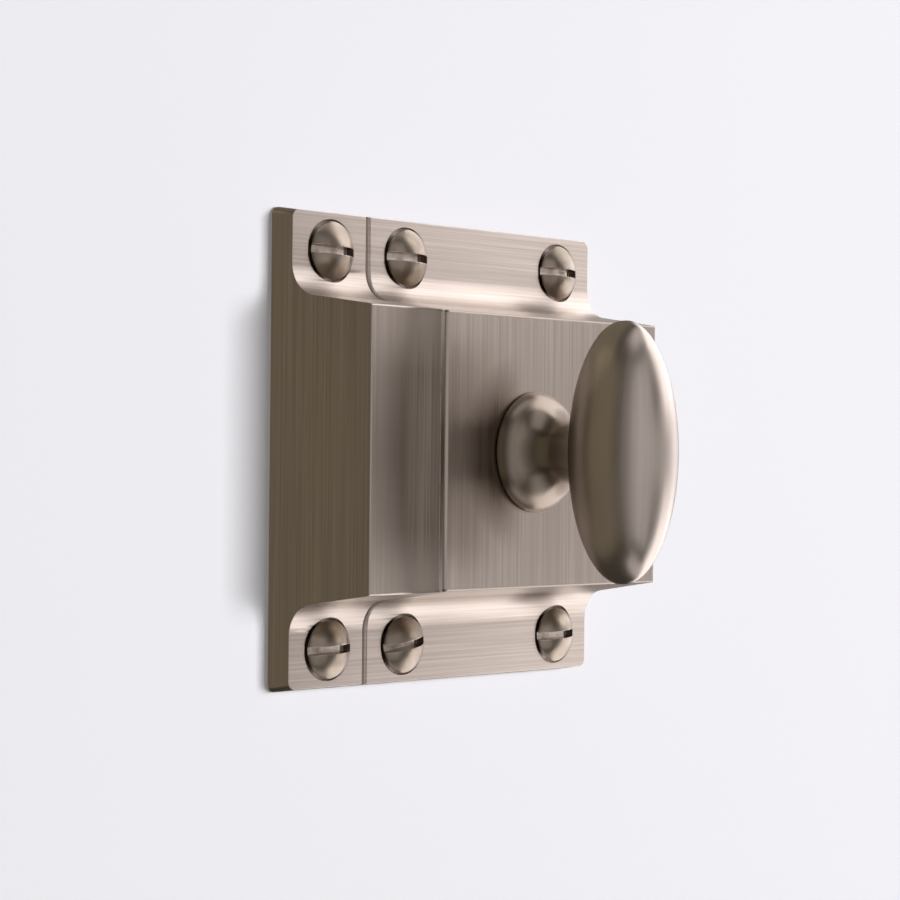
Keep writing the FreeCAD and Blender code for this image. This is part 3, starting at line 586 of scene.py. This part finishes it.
def smooth_piece(piece, angle):
    """Smooth shading that breaks at edges sharper than the angle, with large faces kept flat."""
    piece.data.shade_smooth()
    piece.data.set_sharp_from_angle(angle=math.radians(angle))
    weights = piece.modifiers.new("weights", "WEIGHTED_NORMAL")
    weights.keep_sharp = True
    plain_mesh(piece)


def round_sharp_edges(shape, radius, steps, least_angle, where=None):
    """Round the edges of a bmesh that are sharper than the angle, and mark the new faces for paler metal: rubbed wear
    and a painted highlight.
    """
    mark = shape.faces.layers.float.get("rubbed") or shape.faces.layers.float.new("rubbed")
    chosen = []
    for edge in shape.edges:
        if len(edge.link_faces) != 2 or edge.calc_face_angle() < math.radians(least_angle):
            continue
        if where is None or where((edge.verts[0].co + edge.verts[1].co) / 2):
            chosen.append(edge)
    made = bmesh.ops.bevel(shape, geom=chosen, offset=radius * MM, offset_type="OFFSET", segments=steps,
                           profile=0.5, affect="EDGES", clamp_overlap=False)
    for face in made["faces"]:
        face[mark] = 1.0


def soft_copy(node, name, radius, steps=2):
    shape = bmesh.new()
    shape.from_mesh(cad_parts[node].data)
    bmesh.ops.remove_doubles(shape, verts=shape.verts, dist=MERGE_WITHIN * MM)
    bmesh.ops.dissolve_limit(shape, angle_limit=math.radians(FLAT_ANGLE), verts=shape.verts, edges=shape.edges)
    round_sharp_edges(shape, radius, steps, SHARP_ANGLE)
    piece = new_piece(name, shape)
    smooth_piece(piece, SMOOTH_ANGLE)
    print(name, len(piece.data.polygons), "faces")
    return piece


def finish_piece(piece, finish, body, slot, *nodes):
    piece.data.materials.clear()
    piece.data.materials.append(finish)
    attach(piece, body)
    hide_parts(*nodes)


# %% Brush map
ACROSS = Vector((1.0, 0.0, 0.0))
UPRIGHT = Vector((0.0, 0.0, 1.0))
FLANGE_FRONT = -4.0
CASTING_ROUND = 0.06


def casting_lines(centre, normal):
    """Which way a casting is brushed at a face."""
    on_flange = centre.y > FLANGE_FRONT * MM and normal.y < -0.7
    return ACROSS if on_flange or abs(normal.z) > 0.3 else UPRIGHT


def brush_map(piece, lines_at):
    """A UV map in millimetres with V along the brush lines and U across them."""
    mesh = piece.data
    chart = mesh.uv_layers.new(name="brush")
    for face in mesh.polygons:
        normal = face.normal
        along = lines_at(face.center, normal)
        along = along - normal * along.dot(normal)
        along.normalize()
        across = along.cross(normal)
        for corner in face.loop_indices:
            spot = mesh.vertices[mesh.loops[corner].vertex_index].co / MM
            chart.data[corner].uv = (spot.dot(across), spot.dot(along))


for node, name in (("latch_case", "case_casting"), ("strike", "strike_casting")):
    casting = soft_copy(node, name, CASTING_ROUND)
    brush_map(casting, casting_lines)
    finish_piece(casting, casting_finish, "case", "cast_metal", node)

# %% [markdown]
# ## Knob
# The grip is an oval that narrows to its two ends, more pointed from the front than from the side. It follows a
# rule, so it is built ring by ring: the rings are ellipses whose half axes shrink with the height. The stem is a
# turned bell on a round journal and a square shank. Booleans join them into one closed skin and drill the shank.

# %% Knob sizes
GRIP_DEPTH = 29.85
GRIP_HALF = (6.5, 6.52, 15.5)
FRONT_TAPER, SIDE_TAPER = 0.62, 0.43
KNOB_BASE = 16.35
JOURNAL_END = 11.25
SHANK_END = 7.35


def add_grid(shape, rows, columns, spot, chart_at):
    """Quads between closed rings. Spot gives a point in mm, or one point for a whole ring of a pole."""
    chart = shape.loops.layers.uv.get("brush") or shape.loops.layers.uv.new("brush")
    rings = []
    for row in range(rows + 1):
        first = Vector(spot(row, 0))
        pole = (Vector(spot(row, columns // 2)) - first).length < 1e-4
        count = 1 if pole else columns
        rings.append([shape.verts.new(Vector(spot(row, column)) * MM) for column in range(count)])
    for row in range(rows):
        for column in range(columns):
            places = ((row, column), (row, column + 1), (row + 1, column + 1), (row + 1, column))
            corners = []
            charted = []
            for ring_number, ring_place in places:
                ring = rings[ring_number]
                corner = ring[ring_place % len(ring)]
                if corner not in corners:
                    corners.append(corner)
                    charted.append(chart_at(ring_number, ring_place))
            face = shape.faces.new(corners)
            for loop, place in zip(face.loops, charted):
                loop[chart].uv = place
    return rings


def closed_piece(name, shape):
    bmesh.ops.recalc_face_normals(shape, faces=shape.faces)
    return new_piece(name, shape)


# %% Grip
GRIP_ROWS, GRIP_COLUMNS = 96, 96
GRIP_GIRTH = 41.0


def grip_spot(row, column):
    height = math.sin(math.pi * (row / GRIP_ROWS - 0.5))
    share = max(1.0 - height ** 2, 0.0)
    turned = 2.0 * math.pi * column / GRIP_COLUMNS
    wide = GRIP_HALF[0] * share ** FRONT_TAPER
    deep = GRIP_HALF[1] * share ** SIDE_TAPER
    return KNOB_X + wide * math.cos(turned), -GRIP_DEPTH + deep * math.sin(turned), GRIP_HALF[2] * height


def grip_chart(row, column):
    return GRIP_GIRTH * column / GRIP_COLUMNS, 2.0 * GRIP_HALF[2] * row / GRIP_ROWS


grip_shape = bmesh.new()
add_grid(grip_shape, GRIP_ROWS, GRIP_COLUMNS, grip_spot, grip_chart)
knob = closed_piece("knob_casting", grip_shape)
print("grip", len(knob.data.polygons), "faces")

# %% Stem
STEM_COLUMNS = 72
STEM_GIRTH = 30.0
JOURNAL_RADIUS = 3.6
FOOT_FLAT, FOOT_RADIUS, FOOT_ROUND = 7.15, 7.3, 0.12
BELL_TURN = (6.1, 18.05)
FOOT_BULGE, BELL_HOLLOW = 2.6, 5.0
NECK_RADIUS, NECK_START, NECK_END = 3.65, 21.65, 27.0


def arc_points(start, end, radius, side, steps):
    """Points from start to end on an arc. The centre lies on the left of the way for side 1, else on the right."""
    start, end = Vector(start), Vector(end)
    way = end - start
    rise = math.sqrt(radius ** 2 - (way.length / 2) ** 2)
    centre = (start + end) / 2 + Vector((-way.y, way.x)).normalized() * rise * side
    first = start - centre
    sweep = first.angle_signed(end - centre)
    points = []
    for step in range(steps + 1):
        angle = -sweep * step / steps
        turned = Vector((first.x * math.cos(angle) - first.y * math.sin(angle),
                         first.x * math.sin(angle) + first.y * math.cos(angle)))
        points.append(tuple(centre + turned))
    return points


stem_profile = [(0.0, JOURNAL_END), (JOURNAL_RADIUS, JOURNAL_END), (JOURNAL_RADIUS, KNOB_BASE), (FOOT_FLAT, KNOB_BASE)]
stem_profile += arc_points((FOOT_RADIUS, KNOB_BASE + FOOT_ROUND), BELL_TURN, FOOT_BULGE, 1, 14)
stem_profile += arc_points(BELL_TURN, (NECK_RADIUS, NECK_START), BELL_HOLLOW, -1, 18)[1:]
stem_profile += [(NECK_RADIUS, NECK_END), (0.0, NECK_END)]
stem_lengths = [0.0]
for before, after in zip(stem_profile, stem_profile[1:]):
    stem_lengths.append(stem_lengths[-1] + math.dist(before, after))


def stem_spot(row, column):
    radius, depth = stem_profile[row]
    turned = 2.0 * math.pi * column / STEM_COLUMNS
    return KNOB_X + radius * math.cos(turned), -depth, radius * math.sin(turned)


def stem_chart(row, column):
    return stem_lengths[row], STEM_GIRTH * column / STEM_COLUMNS


stem_shape = bmesh.new()
add_grid(stem_shape, len(stem_profile) - 1, STEM_COLUMNS, stem_spot, stem_chart)
stem = closed_piece("knob_stem", stem_shape)
print("stem", len(stem.data.polygons), "faces, profile", round(stem_lengths[-1], 1), "mm long")

# %% Shank, screw hole and joining
SHANK_HALF = 2.5
SHANK_HOLE = 1.53
HOLE_END = 13.05
SHANK_OVERLAP = 0.1
CUT_SPARE = 1.0
KNOB_SMOOTH_ANGLE = 38.0


def block_piece(name, middle, half):
    shape = bmesh.new()
    bmesh.ops.create_cube(shape, size=2.0)
    for vertex in shape.verts:
        vertex.co = Vector(tuple((centre + side * size) * MM for centre, side, size in zip(middle, vertex.co, half)))
    return new_piece(name, shape)


def bar_piece(name, start_depth, end_depth, radius, columns=32):
    """A plain round bar on the knob's axis, as a cutter."""
    shape = bmesh.new()
    profile = [(0.0, start_depth), (radius, start_depth), (radius, end_depth), (0.0, end_depth)]

    def bar_spot(row, column):
        turned = 2.0 * math.pi * column / columns
        return KNOB_X + profile[row][0] * math.cos(turned), -profile[row][1], profile[row][0] * math.sin(turned)

    add_grid(shape, 3, columns, bar_spot, lambda row, column: (row, column))
    return closed_piece(name, shape)


def combine(piece, other, kind):
    """Join a helper to the piece, or cut the piece with it, and throw the helper away."""
    step = piece.modifiers.new("combine", "BOOLEAN")
    step.operation = kind
    step.solver = "EXACT"
    step.object = other
    plain_mesh(piece)
    bpy.data.objects.remove(other)


shank_middle = (KNOB_X, -(SHANK_END + JOURNAL_END + SHANK_OVERLAP) / 2, 0.0)
shank_half = (SHANK_HALF, (JOURNAL_END + SHANK_OVERLAP - SHANK_END) / 2, SHANK_HALF)
combine(knob, stem, "UNION")
combine(knob, block_piece("knob_shank", shank_middle, shank_half), "UNION")
combine(knob, bar_piece("knob_hole", SHANK_END - CUT_SPARE, HOLE_END, SHANK_HOLE), "DIFFERENCE")
smooth_piece(knob, KNOB_SMOOTH_ANGLE)
finish_piece(knob, knob_finish, "knob", "cast_metal", "knob")
print("knob", len(knob.data.polygons), "faces")

# %% [markdown]
# ## Wood screws
# Six oval-headed slotted screws hold the two castings. One screw is turned from its profile, with a real thread and
# point, and its slot is cut by a boolean. Geometry Nodes then places copies: each point of a small pattern carries
# the turn of its own slot, because no fitter leaves all the slots alike.

# %% One screw
SCREW_COLUMNS, DOME_STEPS = 48, 14
HEAD_RADIUS, HEAD_DOME, RIM_DEPTH = 3.5, 1.35, 3.4
CONE_SLOPE = 1.15
SHANK_RADIUS, THREAD_RADIUS, CORE_SHARE = 1.5, 1.75, 0.74
THREAD_END, SCREW_END = 8.5, 12.0
THREAD_PITCH, ROWS_PER_MM = 1.41, 8
RIDGE_SHARE, THREAD_START, THREAD_RUN_IN = 0.24, 0.3, 1.2
SLOT_WIDTH, SLOT_FLOOR, SLOT_CUT = 0.95, 2.5, 2.0
HEAD_EDGES, HEAD_ROUND, HEAD_ANGLE = -2.3, 0.06, 35.0


def screw_rows():
    """Profile of the screw as pairs (radius, y), from the top of the dome to the point."""
    ball = (HEAD_RADIUS ** 2 + HEAD_DOME ** 2) / (2.0 * HEAD_DOME)
    reach = math.asin(HEAD_RADIUS / ball)
    rows = []
    for step in range(DOME_STEPS + 1):
        angle = reach * step / DOME_STEPS
        rows.append((ball * math.sin(angle), -(RIM_DEPTH + HEAD_DOME - ball + ball * math.cos(angle))))
    rows.append((SHANK_RADIUS, -(RIM_DEPTH - (HEAD_RADIUS - SHANK_RADIUS) * CONE_SLOPE)))
    rows.append((SHANK_RADIUS, 0.0))
    count = round(SCREW_END * ROWS_PER_MM)
    rows += [(None, SCREW_END * step / count) for step in range(count)]
    rows.append((0.0, SCREW_END))
    return rows


SCREW_ROWS = screw_rows()


def thread_radius(depth, turn_share):
    """Radius of the threaded length: a core with one ridge that winds round it, both running out to the point."""
    whole = THREAD_RADIUS * min(1.0, (SCREW_END - depth) / (SCREW_END - THREAD_END))
    phase = (depth / THREAD_PITCH - turn_share) % 1.0
    ridge = max(0.0, 1.0 - abs(phase - 0.5) / RIDGE_SHARE)
    start = min(1.0, max(0.0, (depth - THREAD_START) / THREAD_RUN_IN))
    core = whole * CORE_SHARE
    return core + (whole - core) * ridge * start


def screw_spot(row, column):
    radius, depth = SCREW_ROWS[row]
    share = column / SCREW_COLUMNS
    if radius is None:
        radius = thread_radius(depth, share)
    turned = 2.0 * math.pi * share
    return radius * math.cos(turned), depth, radius * math.sin(turned)


screw_shape = bmesh.new()
add_grid(screw_shape, len(SCREW_ROWS) - 1, SCREW_COLUMNS, screw_spot, lambda row, column: (row, column))
screw = closed_piece("one_screw", screw_shape)
slot_half = (HEAD_RADIUS + CUT_SPARE, SLOT_CUT, SLOT_WIDTH / 2)
combine(screw, block_piece("screw_slot", (0.0, -SLOT_FLOOR - SLOT_CUT, 0.0), slot_half), "DIFFERENCE")
edged = bmesh.new()
edged.from_mesh(screw.data)
bmesh.ops.remove_doubles(edged, verts=edged.verts, dist=0.001 * MM)
# The slot floors get the paler colour: a painted highlight for the light they reflect, and bare metal.
rubbed = edged.faces.layers.float.new("rubbed")
for face in edged.faces:
    at_floor = abs(face.calc_center_median().y + SLOT_FLOOR * MM) < 0.01 * MM
    face[rubbed] = 1.0 if at_floor and face.normal.y < -0.9 else 0.0
round_sharp_edges(edged, HEAD_ROUND, 2, HEAD_ANGLE, lambda spot: spot.y < HEAD_EDGES * MM)
edged.to_mesh(screw.data)
edged.free()
smooth_piece(screw, SMOOTH_ANGLE)
screw.hide_render = True
print("screw", len(screw.data.polygons), "faces")


# %% Screw pattern in Geometry Nodes
def make_screw_tree():
    """Points are spread to a real pitch, and each gets a screw turned about its own axis."""
    tree = bpy.data.node_groups.new("screw_pattern", "GeometryNodeTree")
    made = {}
    for label, kind in (("Geometry", "NodeSocketGeometry"), ("Screw", "NodeSocketObject"),
                        ("Pitch", "NodeSocketVector"), ("Middle", "NodeSocketVector"),
                        ("Finish", "NodeSocketMaterial")):
        made[label] = tree.interface.new_socket(label, in_out="INPUT", socket_type=kind).identifier
    tree.interface.new_socket("Geometry", in_out="OUTPUT", socket_type="NodeSocketGeometry")
    node = {kind: tree.nodes.new(kind) for kind in (
        "NodeGroupInput", "NodeGroupOutput", "GeometryNodeInputPosition", "ShaderNodeVectorMath",
        "GeometryNodeSetPosition", "GeometryNodeInputNamedAttribute", "ShaderNodeCombineXYZ",
        "GeometryNodeObjectInfo", "GeometryNodeInstanceOnPoints", "GeometryNodeRealizeInstances",
        "GeometryNodeSetMaterial")}
    given = node["NodeGroupInput"].outputs
    spread_out = node["ShaderNodeVectorMath"]
    spread_out.operation = "MULTIPLY_ADD"
    node["GeometryNodeInputNamedAttribute"].data_type = "FLOAT"
    node["GeometryNodeInputNamedAttribute"].inputs["Name"].default_value = "slot_turn"
    placed, instance = node["GeometryNodeSetPosition"], node["GeometryNodeInstanceOnPoints"]
    real, painted = node["GeometryNodeRealizeInstances"], node["GeometryNodeSetMaterial"]
    link = tree.links.new
    link(node["GeometryNodeInputPosition"].outputs["Position"], spread_out.inputs[0])
    link(given["Pitch"], spread_out.inputs[1])
    link(given["Middle"], spread_out.inputs[2])
    link(given["Geometry"], placed.inputs["Geometry"])
    link(spread_out.outputs["Vector"], placed.inputs["Position"])
    link(given["Screw"], node["GeometryNodeObjectInfo"].inputs["Object"])
    link(node["GeometryNodeInputNamedAttribute"].outputs["Attribute"], node["ShaderNodeCombineXYZ"].inputs["Y"])
    link(placed.outputs["Geometry"], instance.inputs["Points"])
    link(node["GeometryNodeObjectInfo"].outputs["Geometry"], instance.inputs["Instance"])
    link(node["ShaderNodeCombineXYZ"].outputs["Vector"], instance.inputs["Rotation"])
    link(instance.outputs["Instances"], real.inputs["Geometry"])
    link(real.outputs["Geometry"], painted.inputs["Geometry"])
    link(given["Finish"], painted.inputs["Material"])
    link(painted.outputs["Geometry"], node["NodeGroupOutput"].inputs["Geometry"])
    return tree, made


screw_tree, screw_inputs = make_screw_tree()


def screw_set(name, points, turns, pitch, middle):
    """A set of screws from points at half steps, with the turn of each slot in degrees."""
    mesh = bpy.data.meshes.new(name)
    mesh.from_pydata(points, [], [])
    angles = mesh.attributes.new("slot_turn", "FLOAT", "POINT")
    for item, angle in zip(angles.data, turns):
        item.value = math.radians(angle)
    piece = bpy.data.objects.new(name, mesh)
    scene.collection.objects.link(piece)
    pattern = piece.modifiers.new("pattern", "NODES")
    pattern.node_group = screw_tree
    pattern[screw_inputs["Screw"]] = screw
    pattern[screw_inputs["Pitch"]] = [number * MM for number in pitch]
    pattern[screw_inputs["Middle"]] = [number * MM for number in middle]
    pattern[screw_inputs["Finish"]] = screw_finish
    plain_mesh(piece)
    print(name, len(piece.data.polygons), "faces")
    return piece


SCREW_PITCH = (28.4, 0.0, 47.1)
STRIKE_SCREWS = (-26.925, 0.0, 0.0)
case_points = [(-0.5, 0.0, 0.5), (0.5, 0.0, 0.5), (-0.5, 0.0, -0.5), (0.5, 0.0, -0.5)]
case_screw_set = screw_set("case_screw_set", case_points, (1.0, 2.0, -8.0, -3.0), SCREW_PITCH, (0.0, 0.0, 0.0))
finish_piece(case_screw_set, screw_finish, "case", "screw_metal", "case_screws")
strike_points = [(0.0, 0.0, 0.5), (0.0, 0.0, -0.5)]
strike_screw_set = screw_set("strike_screw_set", strike_points, (2.0, -2.0), SCREW_PITCH, STRIKE_SCREWS)
finish_piece(strike_screw_set, screw_finish, "case", "screw_metal", "strike_screws")
bpy.data.objects.remove(screw)

# %% [markdown]
# ## Spring
# A coil of steel wire lies between the bolt's tail and the case's right wall. A helix follows a rule, so its round
# wire is built ring by ring.

# %% Coil
COIL_START, COIL_END, COIL_DEPTH = 4.525, 15.645, 5.0
COIL_RADIUS, WIRE_RADIUS, COIL_TURNS = 2.0, 0.3, 6
COIL_STEPS, WIRE_SIDES = 32, 12


def coil_place(step):
    turned = 2.0 * math.pi * step / COIL_STEPS
    run = COIL_START + (COIL_END - COIL_START) * step / (COIL_TURNS * COIL_STEPS)
    return Vector((run, -COIL_DEPTH + COIL_RADIUS * math.sin(turned), COIL_RADIUS * math.cos(turned)))


def coil_spot(row, column):
    last = COIL_TURNS * COIL_STEPS
    step = min(max(row - 1, 0), last)
    middle = coil_place(step)
    if row in (0, last + 2):
        return middle
    heading = (coil_place(step + 0.5) - coil_place(step - 0.5)).normalized()
    outward = Vector((0.0, middle.y + COIL_DEPTH, middle.z)).normalized()
    side = heading.cross(outward)
    turned = 2.0 * math.pi * column / WIRE_SIDES
    return middle + (outward * math.cos(turned) + side * math.sin(turned)) * WIRE_RADIUS


coil_shape = bmesh.new()
add_grid(coil_shape, COIL_TURNS * COIL_STEPS + 2, WIRE_SIDES, coil_spot, lambda row, column: (row, column))
coil = closed_piece("bolt_coil", coil_shape)
coil.data.shade_smooth()
finish_piece(coil, steel_finish, "case", "inner_steel", "bolt_spring")
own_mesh(coil)
print("coil", len(coil.data.polygons), "faces")

# %% [markdown]
# ## Hidden works
# The bolt, the cam and the back plate are brass, and the washer and the small screws are steel. Their solids have
# the right shape already, so they only get soft edges and a finish. They show from behind and at the gap.

# %% Bolt, cam, plate and small screws
WORKS = (
    ("latch_bolt", "bolt_bar", "bolt", brass_finish, "inner_brass", 0.15),
    ("cam", "cam_arm", "knob", brass_finish, "inner_brass", 0.12),
    ("back_plate", "cover_plate", "case", brass_finish, "inner_brass", 0.08),
    ("cam_washer", "washer_ring", "knob", steel_finish, "inner_steel", 0.08),
    ("cam_screw", "cam_fixing", "knob", steel_finish, "inner_steel", 0.06),
    ("back_plate_screws", "cover_screws", "case", steel_finish, "inner_steel", 0.04),
)
for node, name, body, finish, slot, radius in WORKS:
    finish_piece(soft_copy(node, name, radius), finish, body, slot, node)

# %% [markdown]
# ## Measure
# The boxes of the solids and of the dressed model are printed in mm. The dressed model must stay inside the solids'
# own box.

# %% Sizes
visual_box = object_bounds()
for label, box in (("solids", cad_box), ("dressed", visual_box)):
    print(label, [[round(number / MM, 3) for number in corner] for corner in box])
